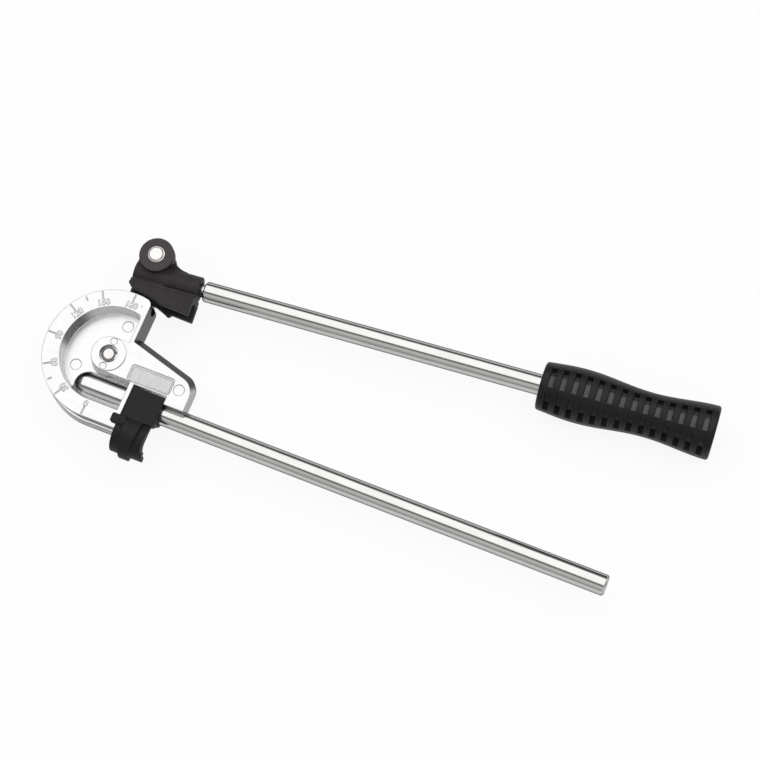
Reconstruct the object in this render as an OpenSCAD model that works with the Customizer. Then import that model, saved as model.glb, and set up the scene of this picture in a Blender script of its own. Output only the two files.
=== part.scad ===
// Two-hand tube bender. A die-cast former sits on a fixed bar. A lever with a grooved head swings
// round it on a rear link, and a hook that turns on the fixed bar holds the tube in the groove.
// Origin: the bend axis, in the middle plane of the tube groove. +X runs along the fixed bar towards
// its free end, +Y towards the lever side, +Z out of the scale face. Lengths are in millimetres.

/* [Tube and bend] */
// Outside diameter of the tube
tube_d = 12; // [8:0.5:14]
// Bend radius at the middle of the tube
bend_r = 45; // [42:1:60]
// Gap between the tube and each groove
tube_gap = 0.2; // [0.05:0.05:0.4]

/* [Former] */
// Thickness of the casting
former_t = 22; // [20:0.5:28]
// Width of the scale ring on the face
rim_w = 11.8; // [10:0.2:14]
// How far the groove's rear rim stands out past the front one, left of the bend axis
rear_rim = 1.3; // [0:0.1:2]
// Depth of the pocket in the scale face
pocket_depth = 11; // [8:0.5:12]
// Thickness of the web behind the pocket
web_t = 3; // [2:0.5:5]
// Draft of the cast walls in degrees
cast_draft = 7; // [1:0.5:9]
// Radius of the hub at the face
hub_r = 12; // [10:0.5:14]
// How far the hub stands over the face
hub_proud = 1; // [0.5:0.1:1.5]
// Distance of the notch edge from the bend axis
notch_x = 12.3; // [10:0.1:15]
// Wall between the pocket and the notch
notch_wall = 2.8; // [2:0.1:4]
// Rounding where the rim meets the notch
notch_corner_r = 4.5; // [2:0.5:7]
// Wall between the pocket and the hook
lip_wall = 3; // [2:0.1:5]
// Slope of the apron between the bar's socket and the rim below it, in degrees
apron_slope = 42; // [35:1:50]
// How far the apron starts below the face
apron_drop = 0.4; // [0.2:0.1:1]
// Reach of the apron behind the bend axis
apron_back = 14; // [10:0.5:15]
// Height of the leg's top edge at the notch
leg_root_y = 13.6; // [12.5:0.1:18]
// Slope of the leg's top edge in degrees
leg_slope = 15.5; // [8:0.5:17]
// Reach of the leg from the bend axis
leg_len = 62; // [56:0.5:75]
// Rounding of the leg's tip
leg_tip_r = 10.5; // [8:0.5:14]
// How far the leg's edge leans out by the middle of the casting
leg_lean = 5.2; // [2:0.1:6]
// Depth of the leg behind the middle of the casting
leg_rear = 5; // [3:0.5:8]
// Step of the leg's edge at the parting line
leg_step = 0.5; // [0.2:0.1:1]
// Wall round the hollow in the back of the leg
leg_wall = 4; // [3:0.5:5]
// Depth of the hollow in the back of the leg
leg_hollow = 6; // [3:0.5:8]
// Depth of the engraved marks on the casting
mark_depth = 0.4; // [0.2:0.1:0.8]
// Width of a scale tick
tick_w = 0.9; // [0.5:0.1:1.5]
// Length of a long scale tick
tick_len = 5.5; // [3:0.5:7]
// Distance from the rim's edge to a tick
tick_inset = 0.8; // [0.4:0.1:2]
// Radius of the round pads in the casting
pad_r = 3.7; // [2:0.1:4]
// Distance of the floor pads from the bend axis
pad_out = 24.4; // [22:0.1:26]
// Distance of the leg's pad from the leg's edges
tip_pad_in = 8.2; // [7:0.1:10]
// Radius of the dots on the hub
dot_r = 2.3; // [1:0.1:2.4]
// Place of the bare label field along the bar
plate_x = 18; // [16:0.5:20]
// Width of the bare label field
plate_w = 31; // [20:0.5:32]
// Height of the bare label field
plate_h = 12; // [8:0.5:13]

/* [Fixed bar] */
// Diameter of both bars
bar_d = 14; // [10:0.5:15]
// Distance from the bar's axis to the middle of the tube at the hook
bar_offset = 21.8; // [20:0.2:24]
// Reach of the fixed bar from the bend axis
bar_reach = 358; // [250:1:500]
// End of the blind socket, measured back from the bend axis
socket_back = 9; // [4:0.5:12]
// Solid nose of the socket beyond the bar
socket_nose = 7.5; // [7:0.5:9]
// Wall of the socket round the bar
socket_wall = 3; // [2:0.1:3]
// Height of the leg's saddle over the bar's axis
saddle_h = 4.7; // [4:0.1:6.5]
// Chamfer on the bar ends
bar_chamfer = 1.2; // [0.5:0.1:2]
// Diameter of the pin that locks the bar
bar_pin_d = 4; // [3:0.5:5]
// Place of that pin along the bar
bar_pin_x = 8; // [2:0.5:14]

/* [Tube hook] */
// Start of the hook along the bar
hook_x = 24.6; // [23:0.1:30]
// Length of the hook's hub on the bar
hook_hub_len = 23.2; // [20:0.2:25]
// Width of the hook's arm
hook_arm_w = 21.6; // [18:0.2:23]
// Wall of the hook's hub round the bar
hook_hub_wall = 2.3; // [1.8:0.1:3.5]
// Height of the hook's block above the bar's axis
hook_block_up = 9; // [8:0.1:10]
// Depth of the hook's block below the bar's axis
hook_block_down = 12.3; // [10:0.1:13]
// How far the block stands proud of the scale face
hook_proud = 0.4; // [0.2:0.1:0.8]
// Wall of the arm round the tube
hook_wall = 6.5; // [5:0.1:8]
// Thickness of the arm where it leaves the block
arm_root_t = 3.6; // [3:0.1:5]
// How far the rib stands over the arm
rib_h = 2.4; // [1:0.1:4]
// Start of the rib from the hook's left side
rib_in = 4.4; // [3:0.1:7]
// Width of the rib at its top
rib_top_w = 12.2; // [8:0.2:13]
// Width of the rib at its foot
rib_foot_w = 6.4; // [4:0.2:9]
// How far the rib's left edge leans in at its foot
rib_foot_in = 3; // [0:0.1:4]
// Angle that the lip reaches round behind the tube
hook_lip_angle = 18; // [10:1:35]
// Length of the stop tab beyond the hook
tab_len = 4.6; // [3:0.1:6]
// Height of the stop tab
tab_h = 6.4; // [4:0.1:8]
// Thickness of the stop tab
tab_t = 2.4; // [1.5:0.1:4]
// Gap round the hook where it turns in the casting
hook_gap = 0.3; // [0.2:0.05:0.6]

/* [Pivot] */
// Diameter of the pivot pin
pin_d = 8; // [6:0.5:8]
// Radius of the counterbore in the hub
counterbore_r = 6.1; // [5.6:0.1:6.5]
// Depth of the counterbore
counterbore_depth = 3.2; // [3:0.1:5]
// Radius of the pivot pin's head
pin_head_r = 6.5; // [5.5:0.1:8]
// Thickness of the pivot pin's head
pin_head_t = 2.4; // [1.5:0.1:3]
// Thickness of the retaining ring
ring_t = 0.9; // [0.6:0.1:1.2]
// Radial height of the retaining ring
ring_h = 1.6; // [1.2:0.1:2]
// Depth of the ring's seat in the pin
ring_seat = 0.7; // [0.4:0.1:0.9]
// Thickness of the thin washers
washer_t = 0.8; // [0.5:0.1:1.2]
// Running gap between a pin and its bore
run_gap = 0.05; // [0.02:0.01:0.1]
// End gap between turning faces
face_gap = 0.1; // [0.05:0.05:0.2]

/* [Link] */
// Width of the link
link_w = 16; // [14:0.5:18]
// Thickness of the link
link_t = 4; // [3:0.5:6]
// How much slimmer the link is between its ends
link_waist = 1; // [0.5:0.1:3]

/* [Lever head] */
// Angle of the lever to the fixed bar at rest
lever_angle = 4.9; // [0:0.1:10]
// Height of the lever's axis above the middle of the tube
lever_lift = 17.3; // [16.5:0.1:22]
// Place of the eye along the lever
eye_s = 8; // [4:0.1:12]
// Height of the eye above the middle of the tube
eye_lift = 29.3; // [28:0.1:35]
// Radius of the eye boss
boss_r = 11.8; // [10.5:0.1:13]
// Radius of the boss behind its front disc
boss_rear_r = 10.2; // [9:0.1:10.4]
// Thickness of the front disc of the boss
boss_disc_t = 8; // [5:0.5:10]
// How far the eye boss stands over the scale face
boss_proud = 2; // [1:0.1:4]
// Left end of the head along the lever, behind the bend axis
head_back = 4.4; // [4:0.1:8]
// Right end of the head along the lever
head_reach = 41.3; // [38:0.1:55]
// Radius of the round socket body
socket_r = 8.7; // [8.4:0.1:9.5]
// Half thickness of the web that carries the eye
eye_web_half = 7; // [5:0.1:8]
// Fillet between the eye and the socket body
eye_fillet_r = 14; // [8:0.5:16]
// Wall of the shoe beside the tube
shoe_wall = 4; // [3:0.1:5]
// Top of the shoe above the middle of the tube
shoe_rise = 8.2; // [7.5:0.1:9]
// Height of the step on top of the shoe
shoe_step = 2.4; // [1:0.1:4]
// How far that step is drawn in
shoe_step_in = 1.3; // [0.5:0.1:3]
// Height of the shoe's nose above the middle of the tube
nose_rise = 5; // [4:0.1:6]
// Place of the shoe's knee along the lever
knee_s = 20; // [17:0.5:25]
// Drop of the shoe's knee below the middle of the tube
knee_drop = 2.2; // [0.5:0.1:3]
// Drop of the shoe's end below the middle of the tube
heel_drop = 4.4; // [3:0.1:6]
// How far the rear wall of the shoe runs on past the head's left end
shoe_tail = 1.8; // [0:0.1:2.5]
// Radius of the lug on the rear wall of the shoe
lug_r = 5.7; // [4:0.1:6.5]
// Place of that lug along the lever
lug_s = 21.5; // [17:0.5:25]

/* [Lever] */
// Length of the neck between the head and the lever bar
neck_len = 3.4; // [1:0.1:6]
// Diameter of the spigot
spigot_d = 9; // [7:0.5:9]
// Depth of the spigot in the head
spigot_depth = 28; // [20:0.5:30]
// Wall of the steel sleeve round the spigot
sleeve_wall = 1.4; // [1:0.1:1.8]
// Plastic in front of the sleeve
sleeve_cover = 2; // [1:0.1:4]
// Diameter of the cross pin
spigot_pin_d = 3; // [2:0.5:4]
// Place of the cross pin, back from the head's end
spigot_pin_back = 20; // [8:0.5:24]
// Radius of the rivet that carries the head
rivet_r = 4.8; // [4.6:0.1:5.2]
// Radius of the rivet's end inside its front rim
rivet_end_r = 4.2; // [3.5:0.1:4.5]
// Height of the rivet's end over its front rim
rivet_end_h = 0.6; // [0.5:0.1:2]
// Radius of the rivet's front rim
rivet_rim_r = 5.8; // [5.6:0.1:7]
// Height of the rivet's front rim
rivet_rim_t = 0.8; // [0.5:0.1:1.5]
// Radius of the rivet's rear flange
rivet_flange_r = 6.8; // [6:0.1:8]
// Thickness of the rivet's rear flange
rivet_flange_t = 1.2; // [0.8:0.1:2]

/* [Grip] */
// Distance of the grip from the bend axis, along the lever
grip_s = 278.3; // [200:0.5:400]
// Length of the grip
grip_len = 116.2; // [90:0.5:140]
// Mean radius of the grip
grip_r = 16.5; // [14:0.1:20]
// Height of the swell of the grip
grip_wave = 1.65; // [0:0.05:2.5]
// Distance between the swells
grip_pitch = 90; // [60:1:140]
// Place of the first swell along the grip
grip_crest = 27; // [15:0.5:40]
// Rounding of the grip's ends
grip_round = 2; // [1:0.1:4]
// Thickness of the closed end of the grip
grip_end = 7; // [4:0.5:12]
// Pairs of slot rows round the grip
slot_pairs = 2; // [1:1:3]
// Slots in a row
slot_count = 14; // [8:1:14]
// Distance of the end slots from the grip's ends
slot_end = 7; // [6:0.1:9]
// Width of a slot
slot_w = 3.1; // [2:0.1:4]
// Depth of a slot, as a share of the grip's wall
slot_share = 0.35; // [0.2:0.05:0.6]
// Angle that a slot reaches round the grip in degrees
slot_reach = 50; // [30:1:52]
// Angle of the rib between the two rows of a pair in degrees
slot_rib = 13; // [6:0.5:14]
// How far a slot's floor leans towards its deeper end, in degrees
slot_tilt = 8; // [0:1:10]
// Angle of the first rib from the scale face, towards the lever side
slot_turn = -22; // [-60:1:60]

/* [Hidden] */
$fn = 96;
over = 1;

casting_col = "gainsboro";
steel_col = "silver";
zinc_col = "darkgray";
plastic_col = "#252326";
rubber_col = "#1d1c1e";

face_z = former_t / 2;
groove_r = tube_d / 2 + tube_gap;
bar_r = bar_d / 2;
bar_y = bar_offset - bend_r;
tail_x = hook_x - hook_gap;
pocket_r = bend_r - rim_w;
rear_r = bend_r + rear_rim;
pocket_right = notch_x - notch_wall;
lip_x = tail_x - lip_wall;
bump_r = bar_r + socket_wall;
saddle_y = bar_y + saddle_h;
rear_pocket_depth = former_t - pocket_depth - web_t;
drift = tan(cast_draft);

leg_tip_x = leg_len - leg_tip_r;
leg_tilt = atan2(leg_lean, face_z);
floor_pads = [88, 210];

hook_end = hook_x + hook_hub_len;
hook_block_z = face_z + hook_proud;
hook_hub_r = bar_r + hook_hub_wall;
hook_relief_r = norm([hook_block_up, hook_block_z]) + hook_gap;
hook_wall_y = bar_y + hook_relief_r + leg_wall;
plate_y = bar_y + sqrt(hook_relief_r * hook_relief_r - face_z * face_z) + over;
arm_r = groove_r + hook_wall;
arm_root_z = groove_r + arm_root_t;

pin_r = pin_d / 2;
hub_z = face_z + hub_proud;
counterbore_z = hub_z - counterbore_depth;
ring_z = counterbore_z + washer_t;
link_top = -face_z - washer_t - face_gap;
link_bottom = link_top - link_t;
boss_bottom = link_top + washer_t;
boss_top = face_z + boss_proud;

lever_p = bend_r + lever_lift;
eye_p = bend_r + eye_lift;
eye_len = norm([eye_s, eye_p]);
eye_turn = lever_angle - atan2(eye_s, eye_p);
shoe_half = groove_r + shoe_wall;
shoe_top = bend_r + shoe_rise;
spigot_r = spigot_d / 2;
sleeve_r = spigot_r + sleeve_wall;
spigot_s = head_reach - spigot_depth;
bar_start = head_reach + neck_len;
spigot_pin_s = head_reach - spigot_pin_back;

// Points on an arc about c, from angle a0 to a1
function arc(c, r, a0, a1, n = 6) =
    [for (i = [0:n]) c + r * [cos(a0 + (a1 - a0) * i / n), sin(a0 + (a1 - a0) * i / n)]];

// Height of the leg's top edge at x
function leg_top(x) = leg_root_y - (x - notch_x) * tan(leg_slope);

// Angle round the rim of a mark for the given bend angle
function mark_angle(bend) = -90 - bend;

// Radius of the grip at distance t from its front end
function grip_radius(t) = grip_r + grip_wave * cos(360 * (t - grip_crest) / grip_pitch);

// Carries a profile drawn in (y, z) about the bar's axis along x
module along_bar(x0, len)
    translate([x0, bar_y, 0]) rotate([90, 0, 90]) linear_extrude(len) children();

// Turns the lever frame, with x along the lever, to its place at rest
module at_lever() rotate([0, 0, lever_angle]) children();

// Cylinder along x from x0
module rod(x0, y, r, len) translate([x0, y, 0]) rotate([0, 90, 0]) cylinder(h = len, r = r);

// Round rod along x with a chamfer at each end
module chamfered_rod(x0, y, r, len, c) {
    translate([x0, y, 0]) rotate([0, 90, 0]) rotate_extrude()
        polygon([[0, 0], [r - c, 0], [r, c], [r, len - c], [r - c, len], [0, len]]);
}

// Flat ring about z
module washer(inner, outer, t) {
    difference() {
        cylinder(h = t, r = outer);
        translate([0, 0, -over]) cylinder(h = t + 2 * over, r = inner);
    }
}

// Rectangle with round corners
module round_rect(w, h, r) {
    translate([r, 0]) square([w - 2 * r, h]);
    translate([0, r]) square([w, h - 2 * r]);
    for (x = [r, w - r], y = [r, h - r]) translate([x, y]) circle(r = r);
}

// Corner between a circle of radius outer and the line x = edge, beyond a rounding of radius r
module corner_waste(outer, edge, r) {
    centre = [edge - r, sqrt(pow(outer - r, 2) - pow(edge - r, 2))];
    difference() {
        polygon([centre, [edge + over, centre.y], [edge + over, outer + over],
            (outer + over) * centre / norm(centre)]);
        translate(centre) circle(r = r);
    }
}

// Outline of the leg with its top edge lifted and drawn in, in a plane where heights shrink by squash
module leg_outline(squash, lift, inset) {
    slope = atan(tan(leg_slope) * squash);
    tip = [leg_tip_x, (leg_top(leg_tip_x) + lift) * squash - leg_tip_r / cos(slope)];
    r = leg_tip_r - inset;
    root = (leg_top(0) + lift) * squash - inset / cos(slope);
    low = -2 * bend_r;
    polygon([[0, low], [0, root], tip + r * [sin(slope), cos(slope)], tip, tip + [r, 0], [tip.x + r, low]]);
    translate(tip) circle(r = r);
}

// Leg over the bar: its edge leans out down to the middle of the casting and is straight behind it,
// and a full-depth wall runs along the hook
module leg() {
    intersection() {
        translate([0, 0, face_z]) rotate([leg_tilt, 0, 0])
            linear_extrude(4 * former_t, center = true) leg_outline(cos(leg_tilt), 0, 0);
        translate([0, saddle_y, 0]) cube([2 * leg_len, 2 * bend_r, face_z]);
    }
    intersection() {
        translate([0, 0, -leg_rear]) linear_extrude(leg_rear) leg_outline(1, leg_lean, leg_step);
        translate([0, saddle_y, -former_t]) cube([2 * leg_len, 2 * bend_r, 2 * former_t]);
    }
    translate([0, saddle_y, -face_z]) cube([leg_tip_x, hook_wall_y - saddle_y, face_z]);
}

// Round part of the casting with the tube groove, up to where its tail starts and to the notch
module rim() {
    difference() {
        union() {
            cylinder(h = former_t, r = bend_r, center = true, $fn = 180);
            difference() {
                translate([0, 0, -face_z]) cylinder(h = face_z, r = rear_r, $fn = 180);
                translate([0, 0, -former_t]) cube([2 * bend_r, 2 * bend_r, 2 * former_t]);
            }
        }
        rotate_extrude($fn = 180) translate([bend_r, 0]) circle(r = groove_r);
        translate([0, -2 * bend_r, -former_t]) cube([2 * bend_r, 2 * bend_r, 2 * former_t]);
        translate([notch_x, -over, -former_t]) cube([bend_r, 2 * bend_r, 2 * former_t]);
        linear_extrude(2 * former_t, center = true) corner_waste(bend_r, notch_x, notch_corner_r);
    }
}

// Straight tail of the rim, up to the hook
module tail() {
    difference() {
        union() {
            translate([0, -bend_r, -face_z]) cube([tail_x, bend_r, former_t]);
            translate([0, -rear_r, -face_z]) cube([tail_x, rear_r, face_z]);
        }
        rod(-over, -bend_r, groove_r, tail_x + 2 * over);
    }
}

// Outline of the pocket: inside the scale ring, round the hub and its band to the leg
module pocket_outline() {
    difference() {
        union() {
            circle(r = pocket_r, $fn = 180);
            translate([0, -pocket_r]) square([lip_x, pocket_r]);
        }
        translate([0, -hub_r]) square([2 * bend_r, 2 * hub_r]);
        translate([pocket_right, 0]) square([bend_r, bend_r]);
        translate([lip_x, -bend_r]) square([bend_r, bend_r]);
        corner_waste(pocket_r, pocket_right, notch_wall);
    }
}

// Cast socket round the bar, with a round end
module bar_socket() {
    start = bump_r - socket_back - socket_nose;
    rod(start, bar_y, bump_r, tail_x - start);
    translate([start, bar_y, 0]) sphere(r = bump_r);
}

// Pocket of the given depth, with its floor at z = 0, drafted outer walls and a drafted hub left in it
module pocket(depth) {
    floor_r = pocket_r - depth * drift;
    rise = depth + over;
    difference() {
        intersection() {
            linear_extrude(rise) pocket_outline();
            union() {
                cylinder(h = rise, r1 = floor_r, r2 = pocket_r + over * drift, $fn = 180);
                rotate([90, 0, 90]) linear_extrude(lip_x + over)
                    polygon([[0, 0], [-floor_r, 0], [-pocket_r - over * drift, rise], [0, rise]]);
            }
        }
        cylinder(h = rise, r1 = hub_r + depth * drift, r2 = hub_r - over * drift);
    }
}

// Apron that rises from the bar's socket to the lower edge of the pocket, from the height low
module apron(low) {
    rise = tan(apron_slope);
    top = face_z - apron_drop;
    edge = pocket_r + over;
    section = [[pocket_r - (top - low) / rise, low], [edge, low], [edge, top + over * rise]];
    intersection() {
        rotate_extrude($fn = 180) polygon(section);
        translate([-apron_back, -2 * bend_r, low - over])
            cube([apron_back, 2 * bend_r + bar_y, former_t]);
    }
    rotate([90, 0, 90]) linear_extrude(lip_x + over) mirror([1, 0, 0]) polygon(section);
}

// Engraved ticks of the bend scale
module scale_ticks() {
    short = tick_len / 2;
    for (bend = [0:30:180]) rotate(mark_angle(bend))
        translate([bend_r - tick_inset - tick_len, -tick_w / 2]) square([tick_len, tick_w]);
    for (bend = [45, 135]) rotate(mark_angle(bend))
        translate([bend_r - 2 * tick_inset - short, -tick_w / 2]) square([short, tick_w]);
}

// Hollow in the back of the leg
module leg_back() {
    left = notch_x + leg_wall;
    right = leg_tip_x;
    polygon([[left, hook_wall_y], [left, leg_top(left) - leg_wall],
        [right, leg_top(right) - leg_wall], [right, hook_wall_y]]);
}

module former() {
    label_r = 2;
    floor_z = face_z - pocket_depth;
    color(casting_col) difference() {
        union() {
            rim();
            tail();
            leg();
            translate([0, 0, face_z - over]) cylinder(h = hub_proud + over, r = hub_r - 2 * over * drift);
        }
        difference() {
            union() {
                translate([0, 0, floor_z]) pocket(pocket_depth);
                mirror([0, 0, 1]) translate([0, 0, web_t - floor_z]) pocket(rear_pocket_depth);
            }
            bar_socket();
            apron(floor_z - over);
        }
        rod(-socket_back, bar_y, bar_r, leg_len + socket_back + over);
        rod(tail_x, bar_y, hook_relief_r, hook_hub_len + 2 * hook_gap);
        translate([0, 0, -former_t]) cylinder(h = 2 * former_t, r = pin_r + run_gap);
        translate([0, 0, counterbore_z]) cylinder(h = counterbore_depth + over, r = counterbore_r);
        translate([bar_pin_x, bar_y, -bump_r - over])
            cylinder(h = bump_r + over + bar_r, r = bar_pin_d / 2);
        translate([0, 0, -face_z - over]) linear_extrude(face_z + over - leg_rear + leg_hollow) leg_back();
        translate([0, 0, face_z - mark_depth]) linear_extrude(mark_depth + over) {
            scale_ticks();
            translate([leg_len - tip_pad_in, leg_top(leg_len - tip_pad_in) - tip_pad_in]) circle(r = pad_r);
            translate([plate_x, plate_y]) round_rect(plate_w, plate_h, label_r);
        }
        translate([0, 0, hub_z - mark_depth]) linear_extrude(mark_depth + over)
            for (y = [-1, 1]) translate([0, y * (hub_r + counterbore_r) / 2]) circle(r = dot_r);
        translate([0, 0, floor_z - mark_depth]) linear_extrude(mark_depth + over)
            for (a = floor_pads) rotate(a) translate([pad_out, 0]) circle(r = pad_r);
    }
}

module fixed_bar() {
    color(steel_col) difference() {
        chamfered_rod(-socket_back, bar_y, bar_r, bar_reach + socket_back, bar_chamfer);
        translate([bar_pin_x, bar_y, -2 * bar_r]) cylinder(h = 3 * bar_r, r = bar_pin_d / 2);
    }
}

module bar_pin() {
    sunk = 0.4;
    color(zinc_col) translate([bar_pin_x, bar_y, -bump_r + sunk])
        cylinder(h = bump_r + bar_r - sunk, r = bar_pin_d / 2);
}

// Section of the hook's arm in (y, z) about the bar's axis, from its outer radius round the tube and
// the height of its front at the root
module arm_profile(outer, root_z) {
    reach = 3 * bar_offset;
    lip = [-cos(hook_lip_angle), -sin(hook_lip_angle)];
    centre = [-bar_offset, 0];
    difference() {
        union() {
            translate(centre) circle(r = outer);
            translate(centre) square([bar_offset, root_z]);
        }
        translate(centre) circle(r = groove_r);
        translate(centre) square([reach, groove_r]);
        polygon([centre, centre + reach * lip, [-reach, -reach], [reach, -reach], [reach, 0]]);
    }
}

module tube_hook() {
    rib_x = hook_x + rib_in;
    rib_r = arm_r + rib_h;
    rib_foot_y = -bend_r - rib_r - over;
    tab_top = bar_y - hook_block_down;
    tab_r = 1.2;
    foot_w = 3.4;
    foot_out = 1.3;
    foot_deep = 4;
    color(plastic_col) difference() {
        union() {
            along_bar(hook_x, hook_hub_len) {
                circle(r = hook_hub_r);
                polygon([[-hook_block_down, groove_r], [-hook_block_down, hook_block_z],
                    [hook_block_up, hook_block_z], [hook_block_up, 0], [-hook_hub_r, 0]]);
            }
            along_bar(hook_x, hook_arm_w) arm_profile(arm_r, arm_root_z);
            intersection() {
                along_bar(rib_x, rib_top_w) arm_profile(rib_r, hook_block_z);
                linear_extrude(4 * former_t, center = true) polygon([[rib_x, tab_top + over],
                    [rib_x + rib_top_w, tab_top + over], [rib_x + rib_top_w, -bend_r],
                    [rib_x + rib_foot_in + rib_foot_w, rib_foot_y], [rib_x + rib_foot_in, rib_foot_y]]);
            }
            translate([hook_x - tab_len, tab_top - tab_h, face_z + hook_gap])
                linear_extrude(tab_t) round_rect(tab_len + rib_in + over, tab_h, tab_r);
            translate([hook_x, tab_top - tab_h, groove_r])
                cube([rib_in + over, tab_h, face_z + hook_gap - groove_r]);
            along_bar(hook_x + hook_arm_w - foot_w + foot_out, foot_w) intersection() {
                arm_profile(arm_r, arm_root_z);
                translate([-bar_offset - 2 * arm_r, -arm_r]) square([arm_r + foot_deep, 2 * arm_r]);
            }
        }
        rod(hook_x - over, bar_y, bar_r + run_gap, hook_hub_len + 2 * over);
    }
}

module link_plate() {
    end_r = link_w / 2;
    color(steel_col) translate([0, 0, link_bottom]) rotate([0, 0, eye_turn]) difference() {
        linear_extrude(link_t) {
            circle(r = end_r);
            translate([0, eye_len]) circle(r = end_r);
            translate([link_waist - end_r, 0]) square([link_w - 2 * link_waist, eye_len]);
        }
        translate([0, 0, -over]) cylinder(h = link_t + 2 * over, r = pin_r);
        translate([0, eye_len, -over]) cylinder(h = link_t + 2 * over, r = rivet_r);
    }
}

module pivot_pin() {
    sunk = 0.5;
    tip_z = hub_z - sunk;
    chamfer = 0.6;
    seat_r = pin_r - ring_seat;
    seat_low = ring_z + face_gap;
    seat_top = seat_low + ring_t;
    low = link_bottom - pin_head_t;
    color(steel_col) rotate_extrude() polygon([
        [0, low], [pin_head_r - chamfer, low], [pin_head_r, low + chamfer], [pin_head_r, link_bottom],
        [pin_r, link_bottom], [pin_r, seat_low], [seat_r, seat_low], [seat_r, seat_top], [pin_r, seat_top],
        [pin_r, tip_z - chamfer], [pin_r - chamfer, tip_z], [0, tip_z]
    ]);
}

module retaining_ring() {
    gap_w = 4;
    inner = pin_r - ring_seat;
    color(zinc_col) translate([0, 0, ring_z + face_gap]) difference() {
        washer(inner, inner + ring_h + ring_seat / 2, ring_t);
        translate([0, -gap_w / 2, -over]) cube([2 * pin_r, gap_w, ring_t + 2 * over]);
    }
}

module ring_washer() {
    color(steel_col) translate([0, 0, counterbore_z + face_gap / 2])
        washer(pin_r + run_gap, counterbore_r - 2 * face_gap, washer_t);
}

module link_washer() {
    color(zinc_col) translate([0, 0, link_top]) washer(pin_r + run_gap, pin_head_r + over, washer_t);
}

module eye_washer() {
    color(zinc_col) translate([0, 0, link_top]) rotate([0, 0, eye_turn]) translate([0, eye_len, 0])
        washer(rivet_r + run_gap, rivet_flange_r + over, washer_t - face_gap);
}

module link_rivet() {
    chamfer = 0.4;
    low = link_bottom - rivet_flange_t;
    rim_z = boss_top + face_gap;
    seat_z = rim_z + rivet_rim_t / 2;
    end_z = rim_z + rivet_rim_t + rivet_end_h;
    color(steel_col) rotate([0, 0, eye_turn]) translate([0, eye_len, 0]) rotate_extrude() polygon([
        [0, low], [rivet_flange_r, low], [rivet_flange_r, link_bottom], [rivet_r, link_bottom],
        [rivet_r, rim_z], [rivet_rim_r, rim_z], [rivet_rim_r, seat_z],
        [(rivet_rim_r + rivet_end_r) / 2, rim_z + rivet_rim_t], [rivet_end_r, seat_z],
        [rivet_end_r, end_z - chamfer], [rivet_end_r - chamfer, end_z], [0, end_z]
    ]);
}

// Plate that fills the fillet between the eye boss and the socket body
module eye_fillet() {
    centre_p = lever_p + socket_r + eye_fillet_r;
    apart = boss_rear_r + eye_fillet_r;
    centre = [eye_s + sqrt(apart * apart - pow(centre_p - eye_p, 2)), centre_p];
    difference() {
        polygon([[eye_s, eye_p], [eye_s, lever_p], [centre.x, lever_p], centre]);
        translate(centre) circle(r = eye_fillet_r);
    }
}

module lever_head() {
    nose_cut = 1.5;
    nose = [nose_cut - head_back, bend_r + nose_rise];
    heel = [head_reach, bend_r - heel_drop];
    rim_clear = 0.4;
    fold_r = eye_len - rear_r - rim_clear;
    cut_len = head_reach + head_back + 2 * over;
    color(plastic_col) at_lever() difference() {
        union() {
            translate([eye_s, eye_p, boss_bottom]) cylinder(h = boss_top - boss_bottom, r = boss_rear_r);
            translate([eye_s, eye_p, boss_top - boss_disc_t]) cylinder(h = boss_disc_t, r = boss_r);
            rod(-head_back, lever_p, socket_r, head_reach + head_back);
            linear_extrude(2 * eye_web_half, center = true)
                polygon([[eye_s - boss_r, eye_p], [-head_back, lever_p], [-head_back, shoe_top],
                    [eye_s + boss_rear_r, shoe_top], [eye_s + boss_rear_r, eye_p]]);
            linear_extrude(eye_web_half, center = true) eye_fillet();
            linear_extrude(2 * shoe_half, center = true)
                polygon([[-head_back, shoe_top], [-head_back, nose.y + nose_cut], nose,
                    [knee_s, bend_r - knee_drop], heel, [head_reach, shoe_top]]);
            linear_extrude(2 * (shoe_half - shoe_step_in), center = true)
                translate([-head_back, shoe_top - over]) square([head_reach + head_back, shoe_step + over]);
            translate([lug_s, bend_r, -shoe_half]) cylinder(h = shoe_wall, r = lug_r);
            translate([0, 0, -shoe_half]) linear_extrude(shoe_wall) intersection() {
                translate([-head_back - shoe_tail, bend_r])
                    square([eye_s + head_back + shoe_tail, shoe_rise]);
                translate([eye_s, eye_p]) circle(r = fold_r);
            }
        }
        rod(-head_back - over, bend_r, groove_r, cut_len);
        translate([-head_back - over, 0, -groove_r]) cube([cut_len, bend_r, 2 * groove_r]);
        translate([0, 0, -2 * former_t]) cylinder(h = 4 * former_t, r = bend_r + rim_clear);
        translate([0, 0, -2 * former_t]) cylinder(h = 2 * former_t, r = rear_r + rim_clear);
        translate([eye_s, eye_p, -2 * former_t]) cylinder(h = 4 * former_t, r = rivet_r + run_gap);
        rod(spigot_s, lever_p, sleeve_r, spigot_depth - sleeve_cover);
        rod(head_reach - sleeve_cover - over, lever_p, spigot_r + face_gap, sleeve_cover + 2 * over);
        translate([spigot_pin_s, lever_p, -former_t])
            cylinder(h = former_t + sleeve_r, r = spigot_pin_d / 2);
    }
}

module spigot_sleeve() {
    color(zinc_col) at_lever() difference() {
        rod(spigot_s, lever_p, sleeve_r, spigot_depth - sleeve_cover);
        rod(spigot_s - over, lever_p, spigot_r, spigot_depth + 2 * over);
        translate([spigot_pin_s, lever_p, -former_t]) cylinder(h = 2 * former_t, r = spigot_pin_d / 2);
    }
}

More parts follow.
